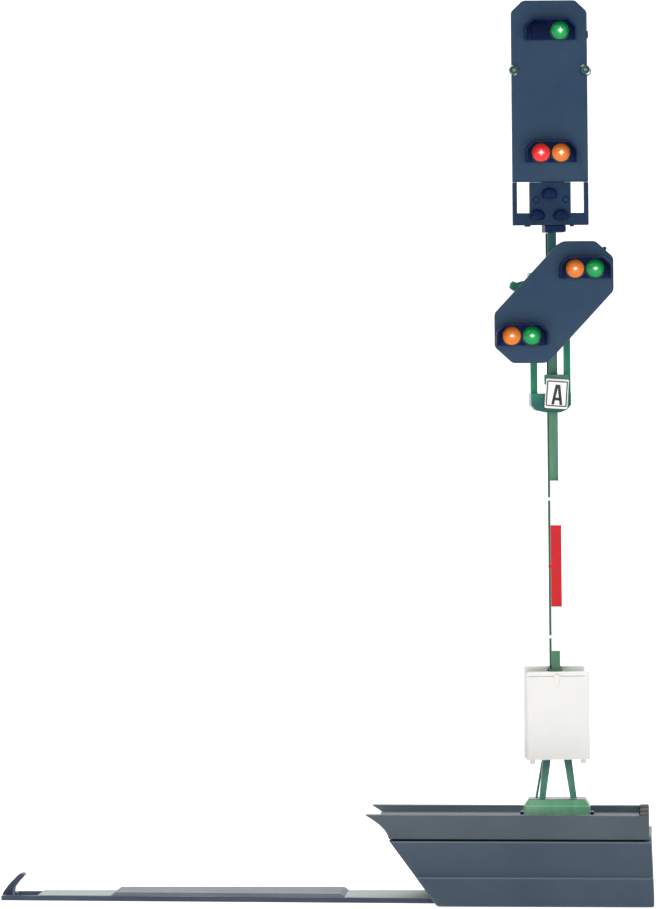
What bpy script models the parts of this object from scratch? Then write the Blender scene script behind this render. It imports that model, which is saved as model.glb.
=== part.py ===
"""Model signal mast for a miniature railway: a main and a distant colour-light signal on one mast.

The mast plugs into a low base that stands beside a moulded track bed, and a flat tongue with a
spring hook reaches under the track. +X points away from the track, the lamps face -Y and +Z is
up. The origin is on the base's underside, below the middle of the foot plate.
Drawing numbers are millimetres; the meshes are built in metres.
"""

import math

import bpy
import bmesh
from mathutils import Vector

MM = 0.001
GAP = 0.04                      # room between neighbouring pieces

# Base: a low embankment
HOUSING_HEIGHT = 6.3            # ledge on which the parting line lies
COVER_BOTTOM = 6.5
CHANNEL_FLOOR = 8.2
RIM_TOP = 8.8
BASE_RIGHT = 9.54               # housing's right side at the table
COVER_RIGHT = 9.0
HOUSING_LEFT = -11.5            # foot of the slope towards the track
SLOPE = 0.744                   # run of the slope for each millimetre of rise
HOUSING_HALF_DEPTH = 10.3
HOUSING_WALL = 1.7
COVER_HALF_DEPTH = 9.6
COVER_WALL = 1.1
CHANNEL_HALF_DEPTH = 7.5
COMB_HALF_DEPTH = 8.8
LIP_TIP = -18.5
LIP_WIDTH = 2.3
LIP_HEIGHT = 2.4
SCREW_X = 6.0
SCREW_PLACES = (-6.0, 6.0)

# Tongue: passes under a track bed 40 mm wide
TONGUE_TIP = -54.45
TONGUE_ROOT = -4.0
TONGUE_TIP_HALF = 3.6
TONGUE_TAPER = 0.05             # half width gained for each millimetre towards the base
TONGUE_PARALLEL = -12.0         # from here on the sides run parallel, in the base's groove
PLATE_THICK = 0.45
STRIP_TOP = 0.54
STRIP_COVER_TOP = 0.87
WINDOW = (-53.3, -51.0)         # opening near the tip, start and end
WINDOW_HALF = 2.8
HOOK_HALF = 1.3
HOOK_SLOT_END = -53.1
STRIP = (-50.8, -4.6)
STRIP_COVER = (-43.65, -20.7)
HOOK_AXIS = (-53.95, 0.0, 0.3)

# Mast unit
FOOT_TOP = 10.0
MAST_POINT = (0.1, -1.0, FOOT_TOP)
MAST_YAW = 6.5                  # the plug lets the mast stand slightly turned
MAST_LEAN = -0.58               # and slightly out of plumb
MAST_HALF_WIDTH = 0.42
MAST_HALF_DEPTH = 1.2
MAST_TOP = 65.5
BOX_BOTTOM = 13.9
BOX_TOP = 22.5
BOX_HALF_DEPTH = 2.9
BOX_SHELLS = (                  # node, side, half width at the seam and at the outer face, top
    ("box_front_shell", -1, 2.86, 3.12, BOX_TOP),
    ("box_rear_shell", 1, 2.96, 2.86, BOX_TOP + 0.4),
)
LEGS = (                        # end of the foot, then place and half width at the foot and at the top
    (-1, (1.54, 0.3), (0.86, 0.4)),
    (1, (1.75, 0.1), (0.87, 0.1)),
)
BRACKET_BARS = (-1.89, 1.38)    # left and right of the mast
BRACKET_BAR_HALF = 0.33
BRACKET_LOW = 48.6
BRACKET_HIGH = 61.6

# Signal heads
LENS_RADIUS = 0.9
LENS_HALF_SPACING = 0.99
MAIN_X = -0.18
MAIN_HALF_WIDTH = 3.72
MAIN_FRONT = -2.2
MAIN_THICK = 0.8
MAIN_BOTTOM = 66.2
MAIN_SEAM = 70.4
MAIN_TOP = 88.2
MAIN_UPPER_LAMPS = 85.25
MAIN_LOWER_LAMPS = 73.3
DUMMY_LAMPS = (("top", -0.13, 69.3), ("left", -1.35, 67.2), ("right", 1.0, 67.2))
DISTANT_X = -0.05
DISTANT_Z = 58.66
DISTANT_FRONT = -3.4
DISTANT_THICK = 0.65
DISTANT_UPPER_LAMPS = (3.04, 3.25)     # from the shield's middle
DISTANT_LOWER_LAMPS = (-3.23, -3.27)


# ---------------------------------------------------------------- materials and placing

def material(name, colour, roughness, metallic=0.0):
    mat = bpy.data.materials.new(name)
    mat.use_nodes = True
    shader = mat.node_tree.nodes["Principled BSDF"]
    shader.inputs["Base Color"].default_value = (*colour, 1.0)
    shader.inputs["Roughness"].default_value = roughness
    shader.inputs["Metallic"].default_value = metallic
    mat.diffuse_color = (*colour, 1.0)
    return mat


def make_materials():
    return {
        "base_plastic": material("base_plastic", (0.095, 0.125, 0.155), 0.55),
        "shield_black": material("shield_black", (0.045, 0.075, 0.125), 0.5),
        "hood_black": material("hood_black", (0.006, 0.015, 0.07), 0.4),
        "mast_green": material("mast_green", (0.09, 0.26, 0.16), 0.45),
        "bracket_green": material("bracket_green", (0.03, 0.22, 0.14), 0.45),
        "box_white": material("box_white", (0.86, 0.85, 0.82), 0.5),
        "sign_white": material("sign_white", (0.9, 0.9, 0.88), 0.4),
        "comb_grey": material("comb_grey", (0.32, 0.33, 0.33), 0.5),
        "strip_metal": material("strip_metal", (0.62, 0.66, 0.64), 0.3, 1.0),
        "strip_cover": material("strip_cover", (0.25, 0.27, 0.28), 0.5),
        "steel": material("steel", (0.6, 0.6, 0.6), 0.3, 1.0),
        "board_green": material("board_green", (0.02, 0.12, 0.05), 0.4),
        "chip_black": material("chip_black", (0.01, 0.01, 0.012), 0.4),
        "led_white": material("led_white", (0.85, 0.84, 0.75), 0.3),
        "lens_green": material("lens_green", (0.01, 0.33, 0.08), 0.15),
        "lens_orange": material("lens_orange", (0.92, 0.22, 0.03), 0.15),
        "lens_red": material("lens_red", (0.86, 0.03, 0.03), 0.15),
    }


def frame(name, point, turn=(0.0, 0.0, 0.0), parent=None):
    """An empty at a drawing point. What hangs on it keeps its drawing coordinates."""
    empty = bpy.data.objects.new(name, None)
    bpy.context.collection.objects.link(empty)
    start = Vector(parent["point"]) if parent else Vector()
    empty["point"] = point
    empty.location = (Vector(point) - start) * MM
    empty.rotation_euler = [math.radians(angle) for angle in turn]
    empty.parent = parent
    return empty


def solid(name, bm, mat, parent, smooth=False):
    """Turn a closed bmesh in millimetres into a named object."""
    bmesh.ops.recalc_face_normals(bm, faces=bm.faces)
    bmesh.ops.scale(bm, vec=(MM, MM, MM), verts=bm.verts)
    mesh = bpy.data.meshes.new(name)
    bm.to_mesh(mesh)
    bm.free()
    if smooth:
        mesh.shade_smooth()
        mesh.set_sharp_from_angle(angle=math.radians(40))
    if mat:
        mesh.materials.append(mat)
    obj = bpy.data.objects.new(name, mesh)
    bpy.context.collection.objects.link(obj)
    obj.location = -Vector(parent["point"]) * MM
    obj.parent = parent
    return obj


def boolean(obj, bm, operation):
    """Cut a closed bmesh from an object, or join one to it, with a hidden helper."""
    helper = solid(f"{obj.name}_{operation.lower()}_{len(obj.modifiers)}", bm, None, obj.parent)
    helper.hide_render = True
    helper.display_type = "WIRE"
    modifier = obj.modifiers.new(helper.name, "BOOLEAN")
    modifier.operation = operation
    modifier.solver = "EXACT"
    modifier.object = helper


def cut(obj, *tools):
    for bm in tools:
        boolean(obj, bm, "DIFFERENCE")


def join(obj, *pieces):
    for bm in pieces:
        boolean(obj, bm, "UNION")


# ---------------------------------------------------------------- shapes

def loft(rings):
    """Skin a stack of rings of equal length and close both ends."""
    bm = bmesh.new()
    rows = [[bm.verts.new(point) for point in ring] for ring in rings]
    for low, high in zip(rows, rows[1:]):
        for i in range(len(low)):
            j = (i + 1) % len(low)
            bm.faces.new((low[i], low[j], high[j], high[i]))
    bm.faces.new(list(reversed(rows[0])))
    bm.faces.new(rows[-1])
    return bm


def oblong(x0, x1, y0, y1, z, radius=0.0, steps=3):
    """Ring of a rectangle in plan, with arcs of this radius at its corners."""
    if radius == 0.0:
        return [(x0, y0, z), (x1, y0, z), (x1, y1, z), (x0, y1, z)]
    corners = ((x1, y0, 270), (x1, y1, 0), (x0, y1, 90), (x0, y0, 180))
    ring = []
    for x, y, start in corners:
        middle_x = x - radius if x == x1 else x + radius
        middle_y = y - radius if y == y1 else y + radius
        for k in range(steps + 1):
            angle = math.radians(start + 90 * k / steps)
            ring.append((middle_x + radius * math.cos(angle), middle_y + radius * math.sin(angle), z))
    return ring


def block(x0, x1, y0, y1, z0, z1, radius=0.0):
    return loft([oblong(x0, x1, y0, y1, z, radius) for z in (z0, z1)])


def prism(outline, axis, low, high):
    """Extrude a flat outline along an axis. The outline's own axes keep the order X, Y, Z."""
    place = {
        "X": lambda a, b, t: (t, a, b),
        "Y": lambda a, b, t: (a, t, b),
        "Z": lambda a, b, t: (a, b, t),
    }[axis]
    return loft([[place(a, b, t) for a, b in outline] for t in (low, high)])


def turned(profile, centre, axis="Y", sides=24):
    """Turn a profile of (radius, place along the axis) about an axis through a point."""
    cx, cy, cz = centre
    rings = []
    for radius, along in profile:
        ring = []
        for k in range(sides):
            angle = 2 * math.pi * k / sides
            a, b = radius * math.cos(angle), radius * math.sin(angle)
            if axis == "Y":
                ring.append((cx + a, cy + along, cz + b))
            elif axis == "Z":
                ring.append((cx + a, cy + b, cz + along))
            else:
                ring.append((cx + along, cy + a, cz + b))
        rings.append(ring)
    return loft(rings)


def pin(radius, low, high, centre, axis="Y", sides=24):
    return turned([(radius, low), (radius, high)], centre, axis, sides)


# ---------------------------------------------------------------- base

def slope_x(z):
    """Left side of the housing at a height."""
    return HOUSING_LEFT - SLOPE * z


def lip_x(z):
    """Left side of the cover: a hollow curve that runs out to the lip's tip."""
    fall = min((RIM_TOP - z) / LIP_HEIGHT, 1.0)
    return LIP_TIP + LIP_WIDTH * (1 - (1 - fall) ** 1.85)


def right_x(z):
    return BASE_RIGHT - 0.29 * z / HOUSING_HEIGHT


def make_housing(mats, base):
    """Tub with a locating lip, a ledge for the board and a groove for the tongue."""
    deep = HOUSING_HALF_DEPTH
    band = 2.8
    outside = [(0.0, deep - 0.1, 0.1), (0.12, deep, 0.0), (band, deep - 0.1, 0.0),
               (band + 0.05, deep - 0.35, 0.0), (HOUSING_HEIGHT, deep - 0.5, 0.0)]
    rings = [oblong(slope_x(z) + inset, right_x(z) - inset, -y, y, z, 0.5)
             for z, y, inset in outside]
    lip = COVER_HALF_DEPTH - COVER_WALL - 0.1
    wall = deep - HOUSING_WALL
    inside = [(HOUSING_HEIGHT, -14.8, 7.9, lip), (7.2, -14.8, 7.9, lip), (7.2, -14.0, 7.2, lip - 0.7),
              (5.8, -14.0, 7.2, lip - 0.7), (5.3, -14.1, 8.2, wall), (2.5, -12.1, 8.2, wall),
              (2.5, -11.2, 7.4, wall - 0.8), (1.6, -10.5, 7.4, wall - 0.8)]
    rings += [oblong(x0, x1, -y, y, z, 0.4) for z, x0, x1, y in inside]
    housing = solid("base_housing", loft(rings), mats["base_plastic"], base)
    groove = tongue_half(TONGUE_PARALLEL) + 0.1
    cut(housing, block(-20.0, -3.0, -groove, groove, -1.0, 0.62))
    for y in SCREW_PLACES:
        cut(housing, turned([(1.3, -1.0), (1.3, 0.9), (0.7, 0.9), (0.7, 3.0)], (SCREW_X, y, 0.0), "Z"))


def make_cover(mats, cover):
    """Upper moulding: two rims, a channel between them, and bosses for the screws."""
    levels = 8
    inner = COVER_HALF_DEPTH - COVER_WALL
    rings = [oblong(-15.0, 8.02, -inner, inner, z, 0.4) for z in (7.3, COVER_BOTTOM)]
    for k in range(levels + 1):
        share = k / levels
        z = COVER_BOTTOM + (RIM_TOP - COVER_BOTTOM) * share
        rings.append(oblong(lip_x(z), COVER_RIGHT + 0.04 * (1 - share),
                            -COVER_HALF_DEPTH, COVER_HALF_DEPTH, z, 0.12, 3))
    shell = solid("base_cover", loft(rings), mats["base_plastic"], cover)
    for y in SCREW_PLACES:
        join(shell, pin(1.1, 1.75, 7.8, (SCREW_X, y, 0.0), "Z"))
        cut(shell, pin(0.6, 1.0, 6.2, (SCREW_X, y, 0.0), "Z"))
    wide = CHANNEL_HALF_DEPTH
    seat = COMB_HALF_DEPTH + 0.05
    cut(shell,
        block(-30.0, 8.05, -wide, wide, CHANNEL_FLOOR, 12.0),
        block(8.05, 12.0, -seat, seat, 7.75, 12.0),
        block(-3.0, 3.0, -1.3, 1.3, 6.0, 9.0),
        block(8.3, 12.0, -6.05, -3.55, 5.0, 7.62))


def make_cable_comb(mats, cover):
    """Ribbed outlet piece at the channel's end: cables lie between its ribs."""
    low, high = 7.8, 8.93
    deep, slot = COMB_HALF_DEPTH, 1.5
    comb = solid("cable_comb", block(8.1, 9.0, -deep, deep, low, high), mats["comb_grey"], cover)
    for y in (-3.5, 3.5):
        cut(comb, block(7.5, 9.6, y - slot, y + slot, 8.3, 10.0))


def make_base_inside(mats, base, cover):
    solid("end_tab", block(8.4, 9.32, -6.0, -3.6, 6.65, 7.57), mats["steel"], cover)
    deep = HOUSING_HALF_DEPTH - HOUSING_WALL - 0.1
    board = solid("circuit_board", block(-11.7, 8.1, -deep, deep, 2.55, 3.35), mats["board_green"], base)
    for y in SCREW_PLACES:
        cut(board, pin(1.4, 2.0, 4.0, (SCREW_X, y, 0.0), "Z"))
    solid("decoder_chip", block(-9.6, -5.0, -2.6, 2.6, 3.39, 4.4), mats["chip_black"], base)
    solid("rectifier", block(-9.2, -6.0, 3.9, 6.4, 3.39, 4.7), mats["chip_black"], base)
    strip = solid("socket_strip", block(-3.4, 3.4, -1.05, 1.05, 3.39, 6.3), mats["chip_black"], base)
    cut(strip, block(-2.85, 2.85, -0.33, 0.33, 3.9, 7.0))
    for side, y in zip(("front", "back"), SCREW_PLACES):
        screw = [(0.85, 0.1), (1.2, 0.25), (1.2, 0.85), (0.55, 0.85), (0.55, 5.0), (0.3, 5.4)]
        solid(f"cover_screw_{side}", turned(screw, (SCREW_X, y, 0.0), "Z", 20), mats["steel"], base, True)


# ---------------------------------------------------------------- tongue and hook

def tongue_half(x):
    return TONGUE_TIP_HALF + TONGUE_TAPER * (min(x, TONGUE_PARALLEL) - TONGUE_TIP)


def tapered(x0, x1, z0, z1, inset=0.0, ramp=0.0):
    """Plate that follows the tongue's sides, with ramps of this length at both ends."""
    rings = []
    for z, shift in ((z0, 0.0), (z1, ramp)):
        left, right = x0 + shift, x1 - shift
        places = [left, min(TONGUE_PARALLEL, (left + right) / 2), right]
        if right > TONGUE_PARALLEL:
            places[1] = TONGUE_PARALLEL
        near = [(x, inset - tongue_half(x), z) for x in places]
        rings.append(near + [(x, -y, z) for x, y, z in reversed(near)])
    return loft(rings)


def make_tongue(mats, tongue):
    """Flat plate with a window near its tip and a slot for the hook."""
    plate = solid("tongue_plate", tapered(TONGUE_TIP, TONGUE_ROOT, 0.0, PLATE_THICK),
                  mats["base_plastic"], tongue)
    cut(plate,
        block(*WINDOW, -WINDOW_HALF, WINDOW_HALF, -1.0, 1.0),
        block(TONGUE_TIP - 1.0, HOOK_SLOT_END, -HOOK_HALF - 0.06, HOOK_HALF + 0.06, -1.0, 1.0))
    solid("tongue_strip", tapered(*STRIP, PLATE_THICK + 0.01, STRIP_TOP, 0.12),
          mats["strip_metal"], tongue)
    solid("strip_cover", tapered(*STRIP_COVER, STRIP_TOP + 0.02, STRIP_COVER_TOP, 0.0, 0.45),
          mats["strip_cover"], tongue)


def make_hook(mats, hook):
    """Leaning catch that snaps over the track bed's far edge."""
    outline = [(-53.7, 0.03), (-54.2, 0.04), (-54.62, 0.25), (-54.45, 0.7), (-53.85, 1.5),
               (-53.0, 2.36), (-52.7, 2.49), (-52.36, 2.38), (-52.46, 2.18), (-52.95, 1.68),
               (-53.42, 1.03), (-53.5, 0.5)]
    solid("track_hook", prism(outline, "Y", -HOOK_HALF, HOOK_HALF), mats["base_plastic"], hook)


# ---------------------------------------------------------------- mast

def make_foot(mats, mast):
    rings = [oblong(-x, x, -y, y, z, 0.2) for z, x, y in
             ((8.25, 3.28, 2.75), (9.36, 3.22, 2.7), (FOOT_TOP, 2.8, 2.3))]
    foot = solid("foot_plate", loft(rings), mats["mast_green"], mast)
    cut(foot, block(-4.0, 4.0, -1.24, 1.24, 8.0, 9.06))
    body = [(6.6, 2.8, 1.1), (8.25, 2.8, 1.1), (8.25, 3.6, 1.2), (8.72, 3.6, 1.2)]
    solid("plug_body", loft([oblong(-x, x, -y, y, z) for z, x, y in body]), mats["chip_black"], mast)
    solid("plug_board", block(-2.7, 2.7, -0.25, 0.25, 4.1, 6.56), mats["board_green"], mast)


def make_legs(mats, stand):
    """Four splayed legs that meet in a collar around the mast's foot."""
    legs = solid("mast_legs", block(-1.2, 1.2, -1.75, 1.75, 14.9, 16.6), mats["mast_green"], stand)
    low, high = FOOT_TOP + GAP, 15.2
    for end, (foot_x, foot_half), (top_x, top_half) in LEGS:
        for side in (-1, 1):
            ring = [oblong(side * x - half, side * x + half, end * y - 0.25, end * y + 0.25, z)
                    for x, half, y, z in ((foot_x, foot_half, 1.85, low), (top_x, top_half, 1.4, high))]
            join(legs, loft(ring))
    wide, deep = MAST_HALF_WIDTH + GAP, MAST_HALF_DEPTH + GAP
    cut(legs, block(-wide, wide, -deep, deep, 14.0, 18.0))


def make_mast(mats, stand):
    """Rolled H section: two flanges and a web, with the lamp wires in its left channel."""
    wide, deep, flange, web = MAST_HALF_WIDTH, MAST_HALF_DEPTH, 0.2, 0.1
    inner = deep - flange
    outline = [(-wide, -deep), (wide, -deep), (wide, -inner), (web, -inner), (web, inner),
               (wide, inner), (wide, deep), (-wide, deep), (-wide, inner), (-web, inner),
               (-web, -inner), (-wide, -inner)]
    solid("mast_profile", prism(outline, "Z", 14.95, MAST_TOP), mats["mast_green"], stand)
    solid("mast_wires", block(-0.3, -0.13, -0.7, 0.7, 15.0, 65.4), mats["chip_black"], stand)
    collar = solid("mast_collar", block(-0.6, 0.6, -1.4, 1.4, 22.1, 22.7), mats["mast_green"], stand)
    cut(collar, block(-0.45, 0.45, -1.23, 1.23, 21.0, 24.0))


def make_box(mats, stand):
    """White equipment box: two shells that meet around the legs and the mast."""
    depth, corner, wall = BOX_HALF_DEPTH, 0.18, 0.5
    for name, side, seam, face, top in BOX_SHELLS:
        outline = [(x * half, side * y) for x, half, y in
                   ((-1, seam, 0.03), (1, seam, 0.03), (1, face, depth - corner), (1, face - corner, depth),
                    (-1, face - corner, depth), (-1, face, depth - corner))]
        shell = solid(name, prism(outline[::side], "Z", BOX_BOTTOM, top), mats["box_white"], stand)
        inner = (wall - depth, 1.0) if side < 0 else (-1.0, depth - wall)
        cut(shell,
            block(-2.45, 2.45, *inner, BOX_BOTTOM + 0.5, top - 0.5),
            block(-1.6, 1.6, -2.3, 2.3, 13.0, 15.0),
            block(-0.72, 0.72, -1.5, 1.5, 21.0, 24.0))
        if side < 0:
            join(shell, *[block(x - 0.25, x + 0.25, -2.7, -2.2, BOX_BOTTOM - 0.4, BOX_BOTTOM + 0.3)
                          for x in (-2.5, 2.5)])


def make_mast_sign(mats, stand):
    """Strip with three lugs that clip round the mast's front flange."""
    strip = solid("mast_sign", block(-0.42, 0.62, -1.5, -1.25, 24.5, 41.2), mats["sign_white"], stand)
    for z in (25.9, 32.8, 39.4):
        join(strip,
             block(-0.66, -0.38, -1.5, -1.25, z - 0.15, z + 0.15),
             block(-0.66, -0.46, -1.45, -1.0, z - 0.15, z + 0.15))


# ---------------------------------------------------------------- sign and bracket

def make_sign(mats, stand):
    """Small identification plate on its own bracket."""
    x0, x1 = -0.95, 1.42
    bracket = solid("sign_bracket", block(x0, x1, -1.95, -1.64, 48.2, 51.6), mats["mast_green"], stand)
    cut(bracket, block(x0 - 1.0, -0.8, -3.0, 0.0, 46.0, 50.6))
    plate_turn = frame("sign_turn", (0.235, -2.0, 49.7), (0.0, 4.2, 0.0), stand)
    plate = block(0.235 - 1.11, 0.235 + 1.11, -2.2, -1.98, 49.7 - 1.44, 49.7 + 1.44)
    solid("sign_plate", plate, mats["sign_white"], plate_turn)


def make_distant_bracket(mats, stand):
    """Two bars beside the mast, tied below by curved arms and above by a yoke behind the mast."""
    (left, right), half = BRACKET_BARS, BRACKET_BAR_HALF
    low, high = BRACKET_LOW, BRACKET_HIGH
    front, back = -1.2, -0.6
    bracket = solid("distant_bracket", block(left - half, left + half, front, back, low, high),
                    mats["bracket_green"], stand)
    under = [(left - half, low + 1.2), (left - half, low), (left + 0.1, 48.1), (-0.6, 47.85),
             (0.6, 47.85), (right - 0.1, 48.1), (right + half, low), (right + half, low + 1.2),
             (right - half, low + 1.2), (right - half, 49.0), (0.6, 48.5), (-0.6, 48.5),
             (-0.73, 49.75), (left + half, 49.75)]
    yoke = [(left - half, 60.4), (right + half, 60.4), (right + half, high), (left - half, high)]
    wide, deep = MAST_HALF_WIDTH + GAP, MAST_HALF_DEPTH + GAP
    join(bracket,
         block(right - half, right + half, front, back, low, high),
         prism(under, "Y", -1.55, 0.8),
         prism(yoke, "Y", front, 1.6))
    cut(bracket, block(-wide, wide, -deep, deep, 47.0, 63.0))
    arm = [(-2.28, 60.36), (-2.51, 60.9), (-3.3, 60.7), (-3.5, 60.62), (-3.9, 60.8), (-4.13, 60.55),
           (-4.22, 60.1), (-4.03, 59.95), (-3.7, 59.77), (-3.4, 59.9), (-3.2, 60.3), (-2.4, 59.9)]
    solid("bracket_arm", prism(arm, "Y", -1.15, -0.35), mats["bracket_green"], stand)


# ---------------------------------------------------------------- signal heads

def lens(name, x, z, front, mats, colour, stand):
    """Domed cap with a flange, pushed into the shield from behind."""
    r = LENS_RADIUS
    dome = [(r * math.cos(a), -0.15 - 0.42 * math.sin(a)) for a in
            [math.radians(18 * k) for k in range(1, 5)]]
    profile = [(r, 0.55), (r, -0.15)] + dome + [(0.12, -0.565)]
    solid(name, turned(profile, (x, front, z)), mats[colour], stand, True)


def hood(name, x, z, front, mats, stand):
    """Visor round a pair of lenses: flat top, sloped shoulders, open below, deepest at the top."""
    outline = [(-2.53, -0.95), (-2.53, 0.5), (-1.85, 1.2), (1.85, 1.2), (2.53, 0.5), (2.53, -0.95),
               (2.27, -0.95), (2.27, 0.4), (1.75, 0.95), (-1.75, 0.95), (-2.27, 0.4), (-2.27, -0.95)]
    back = [(x + a, front - 0.03, z + b) for a, b in outline]
    nose = [(x + a, front - 0.75 - 0.3 * (b + 0.95), z + b) for a, b in outline]
    solid(name, loft([back, nose]), mats["hood_black"], stand)


def lamp_hole(x, z, front):
    return pin(LENS_RADIUS + GAP, -1.0, 1.5, (x, front, z))


def make_main_head(mats, stand):
    x, half, front = MAIN_X, MAIN_HALF_WIDTH, MAIN_FRONT
    back = front + MAIN_THICK
    outline = [(x - half, MAIN_SEAM + 0.03), (x + half, MAIN_SEAM + 0.03),
               (x + half, MAIN_TOP - 1.1), (x + half - 1.15, MAIN_TOP),
               (x - half + 1.15, MAIN_TOP), (x - half, MAIN_TOP - 1.1)]
    shield = solid("main_shield", prism(outline, "Y", front, back), mats["shield_black"], stand)
    lamps = ((-1, MAIN_UPPER_LAMPS, "blank", "shield_black"), (1, MAIN_UPPER_LAMPS, "green", "lens_green"),
             (-1, MAIN_LOWER_LAMPS, "red", "lens_red"), (1, MAIN_LOWER_LAMPS, "orange", "lens_orange"))
    for side, z, word, colour in lamps:
        place = x + 0.05 + side * LENS_HALF_SPACING
        if word == "blank":
            continue
        cut(shield, lamp_hole(place, z, front))
        lens(f"main_lens_{word}", place, z, front, mats, colour, stand)
        led = [(0.5, 0.7), (0.5, 1.2), (0.62, 1.2), (0.62, 1.9)]
        solid(f"main_led_{word}", turned(led, (place, front, z), sides=16), mats["led_white"], stand, True)
    for end, z in (("upper", MAIN_UPPER_LAMPS), ("lower", MAIN_LOWER_LAMPS)):
        hood(f"main_hood_{end}", x + 0.03, z, front, mats, stand)
    for side, word in ((-1, "left"), (1, "right")):
        place = (x + side * 3.5, front, 81.4)
        cut(shield, pin(0.5, -1.0, 2.0, place, sides=16))
        head = [(0.28, -0.3), (0.42, -0.18), (0.46, 0.0), (0.46, 0.7)]
        solid(f"side_pin_{word}", turned(head, place, sides=16), mats["bracket_green"], stand, True)
    housing = solid("main_housing", block(x - 2.9, x + 2.9, back + GAP, 1.55, MAIN_SEAM + 0.2, 87.3, 0.5),
                    mats["shield_black"], stand)
    cut(housing, block(x - 2.5, x + 2.5, back - 1.0, 1.15, MAIN_SEAM + 0.6, 86.9))
    solid("main_board", block(x - 2.4, x + 2.4, -0.26, 0.34, 71.2, 86.7), mats["board_green"], stand)
    ring = solid("eyelet", turned([(0.44, -0.09), (0.44, 0.09)], (3.62, -1.0, 81.25)), mats["steel"], stand, True)
    cut(ring, pin(0.27, -1.0, 1.0, (3.62, -1.0, 81.25)))
    join(ring, block(2.78, 3.3, -1.09, -0.91, 81.15, 81.35))


def make_lamp_panel(mats, stand):
    """Lower part of the main head: a frame with two windows and a panel of dummy lamps."""
    x, front = MAIN_X, MAIN_FRONT
    back = front + MAIN_THICK
    panel = solid("lamp_panel", block(x - MAIN_HALF_WIDTH, x + MAIN_HALF_WIDTH, front, back,
                                      MAIN_BOTTOM, MAIN_SEAM), mats["shield_black"], stand)
    cut(panel,
        block(x - 3.3, x - 2.06, front - 1.0, back + 1.0, 67.4, 71.0),
        block(x + 1.98, x + 3.3, front - 1.0, back + 1.0, 67.4, 71.0))
    for side in (-1, 1):
        join(panel, pin(0.24, -0.2, 0.3, (x + side * 1.44, front, 68.7), sides=16))
    for word, across, z in DUMMY_LAMPS:
        bulb = [(0.65, -0.03), (0.65, -0.3), (0.55, -0.55), (0.3, -0.72), (0.1, -0.76)]
        solid(f"dummy_lamp_{word}", turned(bulb, (x + across, front, z), sides=20), mats["hood_black"], stand, True)
    head = solid("mast_head", block(-0.75, 1.3, back + GAP, 1.4, MAST_TOP + GAP, MAIN_SEAM + 0.15),
                 mats["shield_black"], stand)
    join(head, block(-0.75, 1.3, front + 0.1, back + 0.3, MAST_TOP + GAP, MAIN_BOTTOM - GAP))


def make_distant_head(mats, stand):
    x, z, front = DISTANT_X, DISTANT_Z, DISTANT_FRONT
    back = front + DISTANT_THICK
    half_outline = [(5.86, 1.05), (5.86, 4.35), (4.1, 5.95), (0.95, 5.95), (0.4, 5.65)]
    outline = [(x + a, z + b) for a, b in half_outline]
    outline += [(x - a, z - b) for a, b in half_outline]
    shield = solid("distant_shield", prism(outline, "Y", front, back), mats["shield_black"], stand)
    for end, (across, up) in (("upper", DISTANT_UPPER_LAMPS), ("lower", DISTANT_LOWER_LAMPS)):
        for side, word in ((-1, "orange"), (1, "green")):
            place = x + across + side * LENS_HALF_SPACING
            cut(shield, lamp_hole(place, z + up, front))
            lens(f"distant_lens_{end}_{word}", place, z + up, front, mats, f"lens_{word}", stand)
        hood(f"distant_hood_{end}", x + across, z + up, front, mats, stand)
    inset = 0.83
    rear = [(x + inset * a, z + inset * b) for a, b in half_outline]
    rear += [(x - inset * a, z - inset * b) for a, b in half_outline]
    housing = solid("distant_housing", prism(rear, "Y", back + GAP, -1.26), mats["shield_black"], stand)
    hollow = [(x + 0.76 * a, z + 0.76 * b) for a, b in half_outline]
    hollow += [(x - 0.76 * a, z - 0.76 * b) for a, b in half_outline]
    cut(housing, prism(hollow, "Y", back - 1.0, -1.6))
    inside = [(x + 0.73 * a, z + 0.73 * b) for a, b in half_outline]
    inside += [(x - 0.73 * a, z - 0.73 * b) for a, b in half_outline]
    board = solid("distant_board", prism(inside, "Y", -2.05, -1.65), mats["board_green"], stand)
    for across, up in (DISTANT_UPPER_LAMPS, DISTANT_LOWER_LAMPS):
        for side in (-1, 1):
            place = x + 0.97 * across + side * 0.8
            join(board, pin(0.45, 0.7, 1.5, (place, front, z + 0.97 * up), sides=12))


# ---------------------------------------------------------------- assembly

def main():
    for obj in list(bpy.data.objects):
        bpy.data.objects.remove(obj, do_unlink=True)
    mats = make_materials()
    base = frame("base", (0.0, 0.0, 0.0))
    cover = frame("cover", (0.0, 0.0, COVER_BOTTOM), parent=base)
    mast = frame("mast", (0.0, 0.0, CHANNEL_FLOOR), parent=cover)
    stand = frame("mast_stand", MAST_POINT, (0.0, MAST_LEAN, MAST_YAW), mast)
    tongue = frame("tongue", (TONGUE_ROOT, 0.0, 0.0), parent=base)
    hook = frame("hook", HOOK_AXIS, parent=tongue)
    make_housing(mats, base)
    make_cover(mats, cover)
    make_cable_comb(mats, cover)
    make_base_inside(mats, base, cover)
    make_tongue(mats, tongue)
    make_hook(mats, hook)
    make_foot(mats, mast)
    make_legs(mats, stand)
    make_mast(mats, stand)
    make_box(mats, stand)
    make_mast_sign(mats, stand)
    make_sign(mats, stand)
    make_distant_bracket(mats, stand)
    make_main_head(mats, stand)
    make_lamp_panel(mats, stand)
    make_distant_head(mats, stand)


main()
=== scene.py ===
import math

import bmesh
import bpy
import numpy as np
from mathutils import Matrix, Vector


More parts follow.
